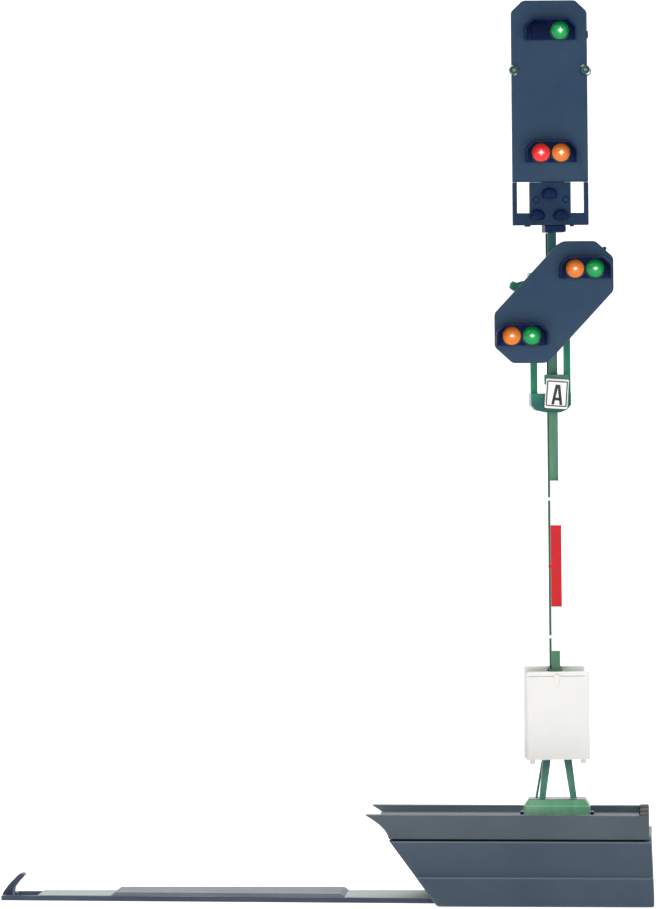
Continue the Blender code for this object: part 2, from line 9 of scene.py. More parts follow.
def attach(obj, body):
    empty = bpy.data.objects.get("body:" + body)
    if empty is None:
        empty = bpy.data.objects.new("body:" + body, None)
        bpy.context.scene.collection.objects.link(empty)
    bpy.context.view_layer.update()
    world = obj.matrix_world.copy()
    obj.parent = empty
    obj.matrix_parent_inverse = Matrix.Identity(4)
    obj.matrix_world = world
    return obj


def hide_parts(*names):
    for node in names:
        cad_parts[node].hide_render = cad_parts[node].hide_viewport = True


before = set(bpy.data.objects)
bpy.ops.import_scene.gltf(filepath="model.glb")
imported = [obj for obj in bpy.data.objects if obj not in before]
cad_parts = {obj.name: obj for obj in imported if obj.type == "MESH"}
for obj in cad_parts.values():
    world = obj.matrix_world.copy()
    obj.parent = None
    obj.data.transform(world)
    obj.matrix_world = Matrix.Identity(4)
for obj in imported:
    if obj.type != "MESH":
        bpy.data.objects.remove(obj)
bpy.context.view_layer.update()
mm = 0.001


# Colour, nodes and the finishes

def linear(hexCode, alpha=1.0):
    # sRGB hex to linear light: the low end is a straight line, the rest a power of 2.4
    srgb = np.array([int(hexCode[i:i + 2], 16) for i in (0, 2, 4)]) / 255
    light = np.where(srgb <= 0.04045, srgb / 12.92, ((srgb + 0.055) / 1.055) ** 2.4)
    return (*light.tolist(), alpha)


def addNode(tree, kind, settings=None, links=None):
    # settings go to the node's own fields, or else to the input of that name or number
    node = tree.nodes.new(kind)
    for key, value in (settings or {}).items():
        if isinstance(key, str) and hasattr(node, key):
            setattr(node, key, value)
        else:
            node.inputs[key].default_value = value
    for key, source in (links or {}).items():
        tree.links.new(source, node.inputs[key])
    return node


def setRamp(node, stops):
    # stops: (place, colour), the first and last reuse the two that the ramp starts with
    ramp = node.color_ramp
    while len(ramp.elements) < len(stops):
        ramp.elements.new(0.5)
    for element, (place, colour) in zip(ramp.elements, stops):
        element.position = place
        element.color = colour


def newMaterial(name):
    material = bpy.data.materials.new(name)
    material.use_nodes = True
    return material, material.node_tree, material.node_tree.nodes["Principled BSDF"]


def paintedBandsAtHeight(tree, where, colour, lines):
    # painted highlight or shade: a band of another tone at this height, full at the level, fading out over
    # the given reach
    height = addNode(tree, "ShaderNodeSeparateXYZ", None, {"Vector": where}).outputs["Z"]
    for level, reach, bandTone in lines:
        away = addNode(tree, "ShaderNodeMath", {"operation": "SUBTRACT", 1: level * mm}, {0: height})
        far = addNode(tree, "ShaderNodeMath", {"operation": "ABSOLUTE"}, {0: away.outputs["Value"]})
        share = addNode(tree, "ShaderNodeMapRange",
                        {"From Min": 0.4 * reach * mm, "From Max": reach * mm, "To Min": 1.0, "To Max": 0.0,
                         "interpolation_type": "SMOOTHSTEP"}, {"Value": far.outputs["Value"]})
        colour = addNode(tree, "ShaderNodeMix", {"data_type": "RGBA", 7: linear(bandTone)},
                         {0: share.outputs["Result"], 6: colour}).outputs[2]
    return colour


def paintedTroughLight(tree, where, colour, troughLight):
    # painted light on the floor of a trough: within this half width and between these heights
    if not troughLight:
        return colour
    half, low, high, troughLightTone = troughLight
    parts = addNode(tree, "ShaderNodeSeparateXYZ", None, {"Vector": where})
    away = addNode(tree, "ShaderNodeMath", {"operation": "ABSOLUTE"}, {0: parts.outputs["Y"]})
    tests = [("LESS_THAN", half, away.outputs["Value"]), ("GREATER_THAN", low, parts.outputs["Z"]),
             ("LESS_THAN", high, parts.outputs["Z"])]
    inside = []
    for operation, level, source in tests:
        test = addNode(tree, "ShaderNodeMath", {"operation": operation, 1: level * mm}, {0: source})
        inside.append(test.outputs["Value"])
    for test in inside[1:]:
        both = addNode(tree, "ShaderNodeMath", {"operation": "MULTIPLY"}, {0: inside[0], 1: test})
        inside[0] = both.outputs["Value"]
    mixed = addNode(tree, "ShaderNodeMix", {"data_type": "RGBA", 7: linear(troughLightTone)}, {0: inside[0], 6: colour})
    return mixed.outputs[2]


def mouldedPlastic(name, look):
    # injection-moulded styrene: slow cloudy tone from the melt, a fine sparked grain
    material, tree, shader = newMaterial(name)
    where = addNode(tree, "ShaderNodeTexCoord").outputs["Object"]
    cloud = addNode(tree, "ShaderNodeTexNoise",
                    {"Scale": 1 / (look["cloud"] * mm), "Detail": 3.0, "Roughness": 0.6}, {"Vector": where})
    grain = addNode(tree, "ShaderNodeTexNoise",
                    {"Scale": 1 / (look["grain"] * mm), "Detail": 2.0}, {"Vector": where})
    tone = addNode(tree, "ShaderNodeValToRGB", None, {"Fac": cloud.outputs["Fac"]})
    setRamp(tone, [(0.3, linear(look["dark"])), (0.7, linear(look["light"]))])
    polish = addNode(tree, "ShaderNodeMapRange",
                     {"To Min": look["rough"] - 0.06, "To Max": look["rough"] + 0.08},
                     {"Value": grain.outputs["Fac"]})
    bump = addNode(tree, "ShaderNodeBump", {"Strength": look["bump"], "Distance": 0.02 * mm},
                   {"Height": grain.outputs["Fac"]})
    colour = paintedBandsAtHeight(tree, where, tone.outputs["Color"], look.get("paintedBands", ()))
    colour = paintedTroughLight(tree, where, colour, look.get("troughLight"))
    tree.links.new(colour, shader.inputs["Base Color"])
    tree.links.new(polish.outputs["Result"], shader.inputs["Roughness"])
    tree.links.new(bump.outputs["Normal"], shader.inputs["Normal"])
    shader.inputs["IOR"].default_value = 1.55
    shader.inputs["Specular IOR Level"].default_value = look.get("gloss", 0.5)
    return material


def lacqueredBrass(name, look):
    # thin satin lacquer on etched brass: it pools a little, so tone and gloss drift along the part
    material, tree, shader = newMaterial(name)
    where = addNode(tree, "ShaderNodeTexCoord").outputs["Object"]
    drawn = addNode(tree, "ShaderNodeMapping", {"Scale": (1.0, 1.0, 0.15)}, {"Vector": where})
    pool = addNode(tree, "ShaderNodeTexNoise",
                   {"Scale": 1 / (look["pool"] * mm), "Detail": 4.0, "Roughness": 0.65},
                   {"Vector": drawn.outputs["Vector"]})
    tone = addNode(tree, "ShaderNodeValToRGB", None, {"Fac": pool.outputs["Fac"]})
    setRamp(tone, [(0.3, linear(look["dark"])), (0.55, linear(look["middle"])),
                   (0.75, linear(look["light"]))])
    polish = addNode(tree, "ShaderNodeMapRange",
                     {"To Min": look["rough"] - 0.08, "To Max": look["rough"] + 0.1},
                     {"Value": pool.outputs["Fac"]})
    bump = addNode(tree, "ShaderNodeBump", {"Strength": 0.12, "Distance": 0.02 * mm},
                   {"Height": pool.outputs["Fac"]})
    # painted shade: darker towards one end, where the part stands in shade; height low to high is 0 to 1
    low, high, thick = look["shadeFade"]
    parts = addNode(tree, "ShaderNodeSeparateXYZ", None, {"Vector": where})
    share = addNode(tree, "ShaderNodeMapRange",
                    {"From Min": low * mm, "From Max": high * mm, "interpolation_type": "SMOOTHSTEP"},
                    {"Value": parts.outputs["Z"]})
    tone = addNode(tree, "ShaderNodeMix", {"data_type": "RGBA", 7: linear(thick)},
                   {0: share.outputs["Result"], 6: tone.outputs["Color"]})
    colour = paintedBandsAtHeight(tree, where, tone.outputs[2], look.get("paintedBands", ()))
    tree.links.new(colour, shader.inputs["Base Color"])
    tree.links.new(polish.outputs["Result"], shader.inputs["Roughness"])
    tree.links.new(bump.outputs["Normal"], shader.inputs["Normal"])
    shader.inputs["Coat Weight"].default_value = 0.25
    shader.inputs["Coat Roughness"].default_value = 0.25
    return material


def rolledMetal(name, look):
    # rolled or drawn metal: fine lines along X, dull where the tin is thicker
    material, tree, shader = newMaterial(name)
    where = addNode(tree, "ShaderNodeTexCoord").outputs["Object"]
    along = addNode(tree, "ShaderNodeMapping", {"Scale": (0.04, 1.0, 1.0)}, {"Vector": where})
    lines = addNode(tree, "ShaderNodeTexNoise", {"Scale": 1 / (look["lines"] * mm), "Detail": 3.0},
                    {"Vector": along.outputs["Vector"]})
    tone = addNode(tree, "ShaderNodeValToRGB", None, {"Fac": lines.outputs["Fac"]})
    setRamp(tone, [(0.25, linear(look["dark"])), (0.75, linear(look["light"]))])
    polish = addNode(tree, "ShaderNodeMapRange",
                     {"To Min": look["rough"] - 0.08, "To Max": look["rough"] + 0.12},
                     {"Value": lines.outputs["Fac"]})
    tree.links.new(tone.outputs["Color"], shader.inputs["Base Color"])
    tree.links.new(polish.outputs["Result"], shader.inputs["Roughness"])
    shader.inputs["Metallic"].default_value = look["metal"]
    return material


def tintedAcrylic(name, look):
    # clear tinted acrylic over a lit lamp: a small white star in the middle, deep colour, paler rim
    # the UV map holds the place across the lens, -1 to 1; a star is low where |x|^p + |y|^p is low
    material, tree, shader = newMaterial(name)
    across = addNode(tree, "ShaderNodeUVMap", {"uv_map": "lensFace"})
    parts = addNode(tree, "ShaderNodeSeparateXYZ", None, {"Vector": across.outputs["UV"]})
    arms = []
    for axis in ("X", "Y"):
        size = addNode(tree, "ShaderNodeMath", {"operation": "ABSOLUTE"}, {0: parts.outputs[axis]})
        wide = addNode(tree, "ShaderNodeMath", {"operation": "MULTIPLY", 1: look["squeeze"][axis]},
                       {0: size.outputs["Value"]})
        arm = addNode(tree, "ShaderNodeMath", {"operation": "POWER", 1: look["point"]},
                      {0: wide.outputs["Value"]})
        arms.append(arm.outputs["Value"])
    star = addNode(tree, "ShaderNodeMath", {"operation": "ADD"}, {0: arms[0], 1: arms[1]})
    round_ = addNode(tree, "ShaderNodeVectorMath", {"operation": "LENGTH"}, {0: across.outputs["UV"]})
    body = addNode(tree, "ShaderNodeValToRGB", None, {"Fac": round_.outputs["Value"]})
    setRamp(body, [(0.0, linear(look["heart"])), (0.5, linear(look["body"])),
                   (0.8, linear(look["deep"])), (0.93, linear(look["rim"]))])
    glow = addNode(tree, "ShaderNodeMapRange",
                   {"From Min": look["starIn"], "From Max": look["starOut"], "To Min": 1.0, "To Max": 0.0,
                    "interpolation_type": "SMOOTHERSTEP"}, {"Value": star.outputs["Value"]})
    colour = addNode(tree, "ShaderNodeMix", {"data_type": "RGBA", 7: linear(look["star"])},
                     {0: glow.outputs["Result"], 6: body.outputs["Color"]})
    lit = addNode(tree, "ShaderNodeMapRange", {"To Min": look["lit"], "To Max": look["starLit"]},
                  {"Value": glow.outputs["Result"]})
    tree.links.new(colour.outputs[2], shader.inputs["Base Color"])
    tree.links.new(colour.outputs[2], shader.inputs["Emission Color"])
    tree.links.new(lit.outputs["Result"], shader.inputs["Emission Strength"])
    shader.inputs["Roughness"].default_value = 0.16
    shader.inputs["IOR"].default_value = 1.49
    shader.inputs["Specular IOR Level"].default_value = 0.3
    return material


def printedBands(name, look):
    # white styrene strip with one band of red ink: the ink's edge wavers by a few hundredths
    material, tree, shader = newMaterial(name)
    where = addNode(tree, "ShaderNodeTexCoord").outputs["Object"]
    parts = addNode(tree, "ShaderNodeSeparateXYZ", None, {"Vector": where})
    waver = addNode(tree, "ShaderNodeTexNoise", {"Scale": 1 / (0.3 * mm), "Detail": 2.0}, {"Vector": where})
    height = addNode(tree, "ShaderNodeMath", {"operation": "MULTIPLY_ADD", 1: 0.06 * mm},
                     {0: waver.outputs["Fac"], 2: parts.outputs["Z"]})
    middle = (look["inkLow"] + look["inkHigh"]) / 2 * mm
    reach = (look["inkHigh"] - look["inkLow"]) / 2 * mm
    away = addNode(tree, "ShaderNodeMath", {"operation": "SUBTRACT", 1: middle}, {0: height.outputs["Value"]})
    far = addNode(tree, "ShaderNodeMath", {"operation": "ABSOLUTE"}, {0: away.outputs["Value"]})
    inked = addNode(tree, "ShaderNodeMath", {"operation": "LESS_THAN", 1: reach}, {0: far.outputs["Value"]})
    cloud = addNode(tree, "ShaderNodeTexNoise", {"Scale": 1 / (1.5 * mm), "Detail": 3.0}, {"Vector": where})
    red = addNode(tree, "ShaderNodeValToRGB", None, {"Fac": cloud.outputs["Fac"]})
    setRamp(red, [(0.3, linear(look["inkDark"])), (0.7, linear(look["ink"]))])
    colour = addNode(tree, "ShaderNodeMix", {"data_type": "RGBA", 6: linear(look["bare"])},
                     {0: inked.outputs["Value"], 7: red.outputs["Color"]})
    tree.links.new(colour.outputs[2], shader.inputs["Base Color"])
    shader.inputs["Roughness"].default_value = 0.5
    shader.inputs["Specular IOR Level"].default_value = 0.3
    return material


def solderResist(name, look):
    # green resist over copper: tracks show as a slightly lighter pattern
    material, tree, shader = newMaterial(name)
    where = addNode(tree, "ShaderNodeTexCoord").outputs["Object"]
    tracks = addNode(tree, "ShaderNodeTexVoronoi",
                     {"feature": "DISTANCE_TO_EDGE", "Scale": 1 / (look["pitch"] * mm)}, {"Vector": where})
    tone = addNode(tree, "ShaderNodeValToRGB", None, {"Fac": tracks.outputs["Distance"]})
    tone.color_ramp.interpolation = "CONSTANT"
    setRamp(tone, [(0.0, linear(look["bare"])), (0.12, linear(look["copper"]))])
    tree.links.new(tone.outputs["Color"], shader.inputs["Base Color"])
    shader.inputs["Roughness"].default_value = 0.3
    return material


plastics = {
    # the base's mouldings come from one tool set, the cover a shade lighter
    "housingStyrene": {"dark": "3D4A59", "light": "475462", "cloud": 9.0, "grain": 0.22, "rough": 0.55,
                       "bump": 0.25, "gloss": 0.2,
                       # painted highlights: pale lines along the ledges at 2.8 and 6.25 mm
                       "paintedBands": ((2.8, 0.11, "66737F"), (6.25, 0.12, "616E7A"))},
    "coverStyrene": {"dark": "49535B", "light": "525C64", "cloud": 8.0, "grain": 0.22, "rough": 0.52,
                     # painted light: the trough's floor paler than the cover
                     "bump": 0.25, "gloss": 0.2, "troughLight": (7.55, 8.1, 8.72, "6A7883")},
    "tongueStyrene": {"dark": "3C4659", "light": "475166", "cloud": 7.0, "grain": 0.2, "rough": 0.45,
                      "bump": 0.2, "gloss": 0.25},
    # small base parts: nylon comb, strip cover
    "combNylon": {"dark": "585B5D", "light": "626668", "cloud": 2.0, "grain": 0.15, "rough": 0.8,
                  "bump": 0.3, "gloss": 0.1},
    # the strip cover's grey is partly its own tone and partly painted sheen, lighter for the light its top
    # reflects at a low angle
    "stripCoverStyrene": {"dark": "5C6672", "light": "6A7480", "cloud": 4.0, "grain": 0.2, "rough": 0.45,
                          "bump": 0.2, "gloss": 0.22},
    # both heads: dark blue-black styrene, the neck and the panel of dummy lamps moulded darker
    "shieldStyrene": {"dark": "263F59", "light": "30485F", "cloud": 6.0, "grain": 0.18, "rough": 0.48,
                      "bump": 0.2, "gloss": 0.2},
    "panelStyrene": {"dark": "182F4C", "light": "213A54", "cloud": 3.0, "grain": 0.18, "rough": 0.5,
                     "bump": 0.2, "gloss": 0.15},
    "neckStyrene": {"dark": "081D42", "light": "0C254B", "cloud": 2.0, "grain": 0.18, "rough": 0.5,
                    "bump": 0.15, "gloss": 0.12},
    # visors are moulded almost black, so that lit lamps stand out, their tone also darkened for the shade
    # inside them; the pans are painted shade, dark sheets where the visors shade the shield, and the blank
    # cap's tone is partly painted shade
    "hoodStyrene": {"dark": "00143A", "light": "04204C", "cloud": 1.2, "grain": 0.15, "rough": 0.42,
                    "bump": 0.1, "gloss": 0.12},
    "panShadeStyrene": {"dark": "001440", "light": "001C54", "cloud": 0.9, "grain": 0.15, "rough": 0.4,
                   "bump": 0.08, "gloss": 0.12},
    "blankShadeStyrene": {"dark": "000E30", "light": "02143C", "cloud": 0.9, "grain": 0.15, "rough": 0.5,
                     "bump": 0.08, "gloss": 0.1},
    # glossy rings round the lenses, and the pins' rounded heads
    "bezelStyrene": {"dark": "04060C", "light": "080C18", "cloud": 0.5, "grain": 0.1, "rough": 0.22,
                     "bump": 0.03, "gloss": 0.6},
    "pinHead": {"dark": "4A7A74", "light": "648F88", "cloud": 0.4, "grain": 0.1, "rough": 0.35,
                "bump": 0.05},
    # white equipment box and sign plate, and the ink on it
    "boxStyrene": {"dark": "ECEBE7", "light": "F3F2EE", "cloud": 5.0, "grain": 0.25, "rough": 0.45,
                   "bump": 0.12, "gloss": 0.35},
    "signStyrene": {"dark": "F4F4F0", "light": "FAFAF7", "cloud": 2.0, "grain": 0.2, "rough": 0.35,
                    "bump": 0.05},
    "signInk": {"dark": "1E2224", "light": "2C3032", "cloud": 0.6, "grain": 0.1, "rough": 0.5,
                "bump": 0.05},
    # moulding epoxy of the electronics, and the clear epoxy of the emitters
    "chipEpoxy": {"dark": "0C0E11", "light": "16191D", "cloud": 1.5, "grain": 0.08, "rough": 0.45,
                  "bump": 0.15, "gloss": 0.3},
    "ledEpoxy": {"dark": "E9E4CC", "light": "F4F0DC", "cloud": 0.8, "grain": 0.1, "rough": 0.2,
                 "bump": 0.02},
}
# sprayed lacquer on etched brass, and the enamel on the lamp wires
lacquers = {
    "mastLacquer": {"dark": "40725A", "middle": "4B8367", "light": "5E9878", "pool": 0.9, "rough": 0.42,
                    # painted shade: darker from 44 mm up towards the heads; a slightly darker band round 23.8
                    # mm, just above the box
                    "shadeFade": (44, 64, "185A60"), "paintedBands": ((23.8, 2.4, "46805F"),)},
    "legLacquer": {"dark": "41836B", "middle": "4F967A", "light": "61A789", "pool": 0.8, "rough": 0.42,
                   # painted shade: darker towards the top of the legs, under the box
                   "shadeFade": (10.8, 14.5, "3A666E")},
    "footLacquer": {"dark": "64AA7F", "middle": "71BA8C", "light": "84CA9D", "pool": 1.2, "rough": 0.4,
                    # painted shade: darker towards the bottom of its front face; painted highlight along the
                    # chamfer's lower edge at 9.36 mm, painted shade over the top face at 10.02 mm
                    "shadeFade": (8.9, 8.0, "66A986"),
                    "paintedBands": ((9.36, 0.06, "9FD8B4"), (10.02, 0.1, "35524F"))},
    "bracketLacquer": {"dark": "046A52", "middle": "0A8264", "light": "149070", "pool": 0.8, "rough": 0.4,
                       # painted shade: darker below 50.2 mm, on the bracket's lower side
                       "shadeFade": (50.2, 48.4, "125A58")},
    "collarLacquer": {"dark": "143A3A", "middle": "1C4A46", "light": "2A5C54", "pool": 0.4, "rough": 0.35,
                      "shadeFade": (90, 91, "1C4A46")},
    "enamelWire": {"dark": "1C2E2A", "middle": "2A3E36", "light": "3C4A3A", "pool": 0.4, "rough": 0.3,
                   "shadeFade": (15, 66, "22322E")},
}
metals = {
    "tinnedBronze": {"dark": "7E8A88", "light": "98A2A0", "lines": 0.25, "rough": 0.42, "metal": 0.55},
    "brightSteel": {"dark": "B4B8BA", "light": "D8DCDD", "lines": 0.12, "rough": 0.3, "metal": 0.9},
}
# tint of each lamp colour, and how a lit lamp glows in each head: a pointed star, or a low wide spot
lampTints = {
    "green": {"heart": "1FB04E", "body": "129A4C", "deep": "0A8A46", "rim": "148A58", "star": "F4FFF6",
              "lit": 0.1, "starLit": 0.75},
    "orange": {"heart": "F08A3C", "body": "E0762A", "deep": "DC7028", "rim": "D68048", "star": "FFF6DC",
               "lit": 0.1, "starLit": 0.75},
    "red": {"heart": "F03A34", "body": "E6282C", "deep": "DC2A2E", "rim": "D04A44", "star": "FFE9DE",
            "lit": 0.2, "starLit": 0.8},
}
lampGlows = {
    "Main": {"point": 0.75, "squeeze": {"X": 1.25, "Y": 1.25}, "starIn": 0.02, "starOut": 0.85},
    "Distant": {"point": 1.2, "squeeze": {"X": 2.6, "Y": 3.8}, "starIn": 0.0, "starOut": 1.05,
                "starLit": 0.4},
}
printedStrip = {"bare": "FAFAF8", "ink": "D41E26", "inkDark": "C41C24", "inkLow": 28.87,
                 "inkHigh": 36.85}
resistCoat = {"bare": "1B4A2C", "copper": "24603A", "pitch": 1.3}
finishes = {name: mouldedPlastic(name, look) for name, look in plastics.items()}
finishes.update({name: lacqueredBrass(name, look) for name, look in lacquers.items()})
finishes.update({name: rolledMetal(name, look) for name, look in metals.items()})
for word, tint in lampTints.items():
    for head, glow in lampGlows.items():
        name = word + "Acrylic" + head
        finishes[name] = tintedAcrylic(name, {**tint, **glow})
finishes["printedStyrene"] = printedBands("printedStyrene", printedStrip)
finishes["solderResist"] = solderResist("solderResist", resistCoat)
print("finishes:", len(finishes))


# Shapes as arrays, in millimetres

def roundedOutline(corners, radius, steps=5):
    # each corner P becomes (1-t)^2 S + 2t(1-t) P + t^2 E, with S and E one radius before and after it
    p = np.asarray(corners, float)
    before, after = np.roll(p, 1, 0) - p, np.roll(p, -1, 0) - p
    toBefore = np.linalg.norm(before, axis=1, keepdims=True)
    toAfter = np.linalg.norm(after, axis=1, keepdims=True)
    wanted = np.reshape(radius, (-1, 1)) * np.ones((len(p), 1))
    reach = np.minimum(wanted, 0.45 * np.minimum(toBefore, toAfter))
    start, end = p + before / toBefore * reach, p + after / toAfter * reach
    t = np.linspace(0, 1, steps)[None, :, None]
    curve = (1 - t) ** 2 * start[:, None] + 2 * t * (1 - t) * p[:, None] + t ** 2 * end[:, None]
    return curve.reshape(-1, 2)


def insetOutline(outline, depth):
    # every point moves inwards by depth from both its sides: along their mean normal, further at a corner
    side = np.roll(outline, -1, 0) - outline
    side /= np.linalg.norm(side, axis=1, keepdims=True)
    mean = side + np.roll(side, 1, 0)
    inwards = np.stack([-mean[:, 1], mean[:, 0]], 1)
    return outline + 2 * depth * inwards / (mean ** 2).sum(1, keepdims=True)


def placedRings(outlines, places, axis):
    # an outline (a, b) at place t becomes (t, a, b), (a, t, b) or (a, b, t)
    rings = [np.insert(outline, "xyz".index(axis), place, axis=1) for outline, place in zip(outlines, places)]
    return np.array(rings)


def extruded(outline, low, high, edge, axis, steps=4):
    # quarter-round edges: at angle a the outline is inset by edge (1 - sin a),
    # and lies edge (1 - cos a) inside the end
    angle = np.linspace(0, math.pi / 2, steps)
    insets = edge * (1 - np.sin(angle))
    depths = edge * (1 - np.cos(angle))
    outlines = [insetOutline(outline, d) for d in np.concatenate([insets, insets[::-1]])]
    places = np.concatenate([low + depths, high - depths[::-1]])
    return skin(placedRings(outlines, places, axis))


def skin(rings):
    # quads between neighbouring rings, and a flat face over each end
    count, length = rings.shape[:2]
    index = np.arange(count * length).reshape(count, length)
    ahead = np.roll(index, -1, 1)
    quads = np.stack([index[:-1], ahead[:-1], ahead[1:], index[1:]], -1).reshape(-1, 4)
    return rings.reshape(-1, 3), quads.tolist() + [index[0, ::-1].tolist(), index[-1].tolist()]


def turnedShell(radii, places, centre, axis="y", sides=40):
    # surface of revolution: radius r at place s is (r cos u, r sin u) about the axis
    u = np.linspace(0, 2 * math.pi, sides, endpoint=False)
    circles = [np.stack([r * np.cos(u), r * np.sin(u)], 1) for r in radii]
    points, faces = skin(placedRings(circles, places, axis))
    return points + np.asarray(centre, float), faces


def tube(path, radius, sides=10):
    # circle of this radius across the path; its first axis stays square to X or Z, whichever is further
    path = np.asarray(path, float)
    tangent = np.gradient(path, axis=0)
    tangent /= np.linalg.norm(tangent, axis=1, keepdims=True)
    steady = np.where(np.abs(tangent[:, 2:3]) > 0.8, [[1.0, 0, 0]], [[0, 0, 1.0]])
    first = np.cross(tangent, steady)
    first /= np.linalg.norm(first, axis=1, keepdims=True)
    second = np.cross(tangent, first)
    u = np.linspace(0, 2 * math.pi, sides, endpoint=False)[None, :, None]
    return skin(path[:, None] + radius * (np.cos(u) * first[:, None] + np.sin(u) * second[:, None]))


def rectangle(x0, x1, y0, y1, radius, steps=4):
    return roundedOutline([(x0, y0), (x1, y0), (x1, y1), (x0, y1)], radius, steps)


def brick(x0, x1, y0, y1, z0, z1, radius=0.02):
    # plain block for cuts and small lugs
    return extruded(rectangle(x0, x1, y0, y1, radius, 2), z0, z1, radius / 2, "z", 2)


# Placing and finishing

mastStance = {"point": (0.1, -1.0, 10.0), "yaw": 6.5, "lean": -0.58}   # the mast turned and out of plumb


def onMast(points):
    # lean about Y, then yaw about Z, round the mast's own point
    centre = np.array(mastStance["point"])
    turn = (Matrix.Rotation(math.radians(mastStance["yaw"]), 3, "Z")
            @ Matrix.Rotation(math.radians(mastStance["lean"]), 3, "Y"))
    return (points - centre) @ np.array(turn).T + centre


signTurn = {"point": (0.235, -2.0, 49.7), "angle": 4.2}   # the plate hangs a little crooked


def onSign(points):
    centre = np.array(signTurn["point"])
    turn = Matrix.Rotation(math.radians(signTurn["angle"]), 3, "Y")
    return onMast((points - centre) @ np.array(turn).T + centre)


def upright(points):
    return points


def meshOf(name, shells, place):
    # all shells in one mesh, placed and turned to metres, with every face pointing out
    points, faces, start = [], [], 0
    for shellPoints, shellFaces in shells:
        points.append(place(shellPoints) * mm)
        faces += [[start + i for i in face] for face in shellFaces]
        start += len(shellPoints)
    mesh = bpy.data.meshes.new(name)
    mesh.from_pydata(np.concatenate(points).tolist(), [], faces)
    work = bmesh.new()
    work.from_mesh(mesh)
    bmesh.ops.recalc_face_normals(work, faces=work.faces)
    work.to_mesh(mesh)
    work.free()
    return mesh


def cutAway(piece, shells, place):
    # an exact Boolean for each shell, kept as plain mesh
    for shell in shells:
        tool = bpy.data.objects.new("tool", meshOf("tool", [shell], place))
        bpy.context.scene.collection.objects.link(tool)
        modifier = piece.modifiers.new("cut", "BOOLEAN")
        modifier.object = tool
        graph = bpy.context.evaluated_depsgraph_get()
        mesh = bpy.data.meshes.new_from_object(piece.evaluated_get(graph))
        piece.modifiers.clear()
        piece.data = mesh
        bpy.data.objects.remove(tool)


def finishPiece(piece, use):
    # use: finish, slot, body, cad nodes it stands for, and the width of its softened edges
    piece.data.materials.clear()
    piece.data.materials.append(finishes[use["finish"]])
    piece.data.shade_smooth()
    piece.data.set_sharp_from_angle(angle=math.radians(32))
    if use.get("soften"):
        modifier = piece.modifiers.new("softEdges", "BEVEL")
        modifier.width = use["soften"] * mm
        modifier.segments = 2
        modifier.limit_method = "ANGLE"
        modifier.angle_limit = math.radians(32)
        modifier.harden_normals = True
    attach(piece, use["body"])
    if use.get("cad"):
        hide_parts(*use["cad"])
    return piece


def buildPiece(name, shells, use, place=upright, cuts=()):
    piece = bpy.data.objects.new(name, meshOf(name, shells, place))
    bpy.context.scene.collection.objects.link(piece)
    cutAway(piece, cuts, place)
    return finishPiece(piece, use)


def softenedCopy(node, use, cuts=(), place=upright):
    # the CAD shape with its triangles joined to flat faces, so that its edges can be softened
    piece = bpy.data.objects.new(node + "_soft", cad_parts[node].data.copy())
    bpy.context.scene.collection.objects.link(piece)
    work = bmesh.new()
    work.from_mesh(piece.data)
    bmesh.ops.remove_doubles(work, verts=work.verts, dist=0.0002 * mm)
    bmesh.ops.dissolve_limit(work, angle_limit=math.radians(1.0), verts=work.verts, edges=work.edges)
    work.to_mesh(piece.data)
    work.free()
    cutAway(piece, cuts, place)
    return finishPiece(piece, {**use, "cad": [node]})


def paintNode(node, finish):
    # a CAD node whose shape is right keeps it and gets its finish
    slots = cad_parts[node].data.materials
    slots.clear()
    slots.append(finishes[finish])


# Base

baseLooks = {
    "base_housing": {"finish": "housingStyrene", "slot": "base_plastic", "body": "base", "soften": 0.15},
    "base_cover": {"finish": "coverStyrene", "slot": "base_plastic", "body": "cover", "soften": 0.07},
    "cable_comb": {"finish": "combNylon", "slot": "comb_grey", "body": "cover", "soften": 0.1},
    "end_tab": {"finish": "brightSteel", "slot": "steel", "body": "cover", "soften": 0.06},
    "circuit_board": {"finish": "solderResist", "slot": "board_green", "body": "base", "soften": 0.03},
    "decoder_chip": {"finish": "chipEpoxy", "slot": "chip_black", "body": "base", "soften": 0.08},
    "rectifier": {"finish": "chipEpoxy", "slot": "chip_black", "body": "base", "soften": 0.08},
    "socket_strip": {"finish": "chipEpoxy", "slot": "chip_black", "body": "base", "soften": 0.05},
    "foot_plate": {"finish": "footLacquer", "slot": "mast_green", "body": "mast", "soften": 0.05},
    "plug_body": {"finish": "chipEpoxy", "slot": "chip_black", "body": "mast", "soften": 0.05},
    "plug_board": {"finish": "solderResist", "slot": "board_green", "body": "mast", "soften": 0.02},
    "tongue_plate": {"finish": "tongueStyrene", "slot": "base_plastic", "body": "tongue", "soften": 0.06},
    "tongue_strip": {"finish": "tinnedBronze", "slot": "strip_metal", "body": "tongue"},
    "strip_cover": {"finish": "stripCoverStyrene", "slot": "strip_cover", "body": "tongue", "soften": 0.05},
}
for node, use in baseLooks.items():
    softenedCopy(node, use)
print("base and tongue:", len(baseLooks))


# Mast

mastLooks = {
    "mast_legs": {"finish": "legLacquer", "slot": "mast_green", "body": "mast", "soften": 0.05},
    "mast_profile": {"finish": "mastLacquer", "slot": "mast_green", "body": "mast", "soften": 0.03},
    "mast_collar": {"finish": "mastLacquer", "slot": "mast_green", "body": "mast", "soften": 0.04},
    "sign_bracket": {"finish": "mastLacquer", "slot": "mast_green", "body": "mast", "soften": 0.04},
    "distant_bracket": {"finish": "bracketLacquer", "slot": "bracket_green", "body": "mast", "soften": 0.04},
    "bracket_arm": {"finish": "bracketLacquer", "slot": "bracket_green", "body": "mast", "soften": 0.06},
    "mast_head": {"finish": "neckStyrene", "slot": "shield_black", "body": "mast", "soften": 0.05},
    "lamp_panel": {"finish": "panelStyrene", "slot": "shield_black", "body": "mast", "soften": 0.05},
    "eyelet": {"finish": "brightSteel", "slot": "steel", "body": "mast", "soften": 0.02},
}
for node, use in mastLooks.items():
    softenedCopy(node, use)


# Backs of the mouldings

